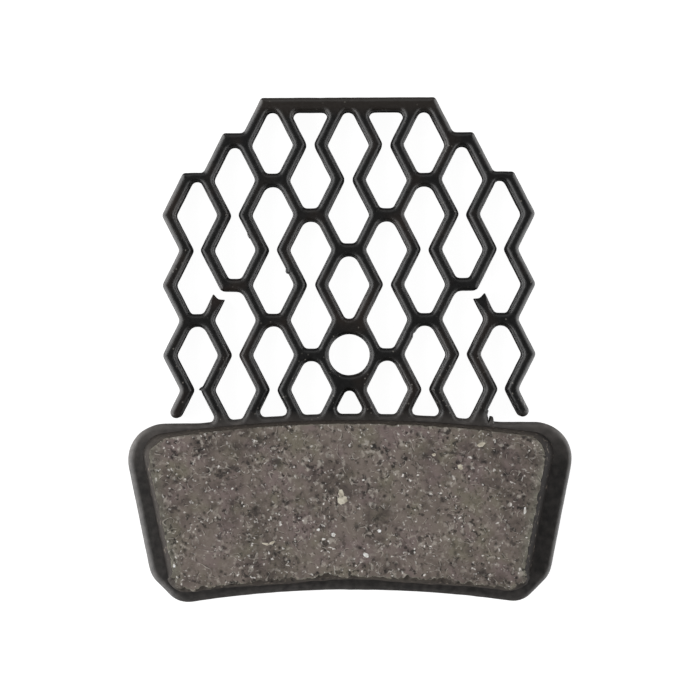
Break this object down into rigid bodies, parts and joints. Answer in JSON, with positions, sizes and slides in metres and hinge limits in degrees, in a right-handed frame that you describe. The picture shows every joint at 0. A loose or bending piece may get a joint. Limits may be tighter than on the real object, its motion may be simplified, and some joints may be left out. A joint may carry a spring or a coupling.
{
  "type": "bicycle disc brake pad",
  "caption": "Disc brake pad with a block of friction compound on a steel plate and an open cooling lattice around the pin hole.",
  "frame": {"origin": "centre of the pin hole on the back face of the steel plate", "axes": "+Z out of the friction face, +Y up the cooling lattice away from the friction block, +X to the right when looking at the friction face"},
  "size_m": [0.037, 0.0419, 0.004],
  "materials": {
    "black_coated_steel": "satin black coat on blanked steel sheet",
    "friction_compound": "ground resin compound with metal specks and pits"
  },
  "bodies": {
    "root": {"backing_plate": "black_coated_steel", "friction_pad": "friction_compound"}
  },
  "joints": []
}
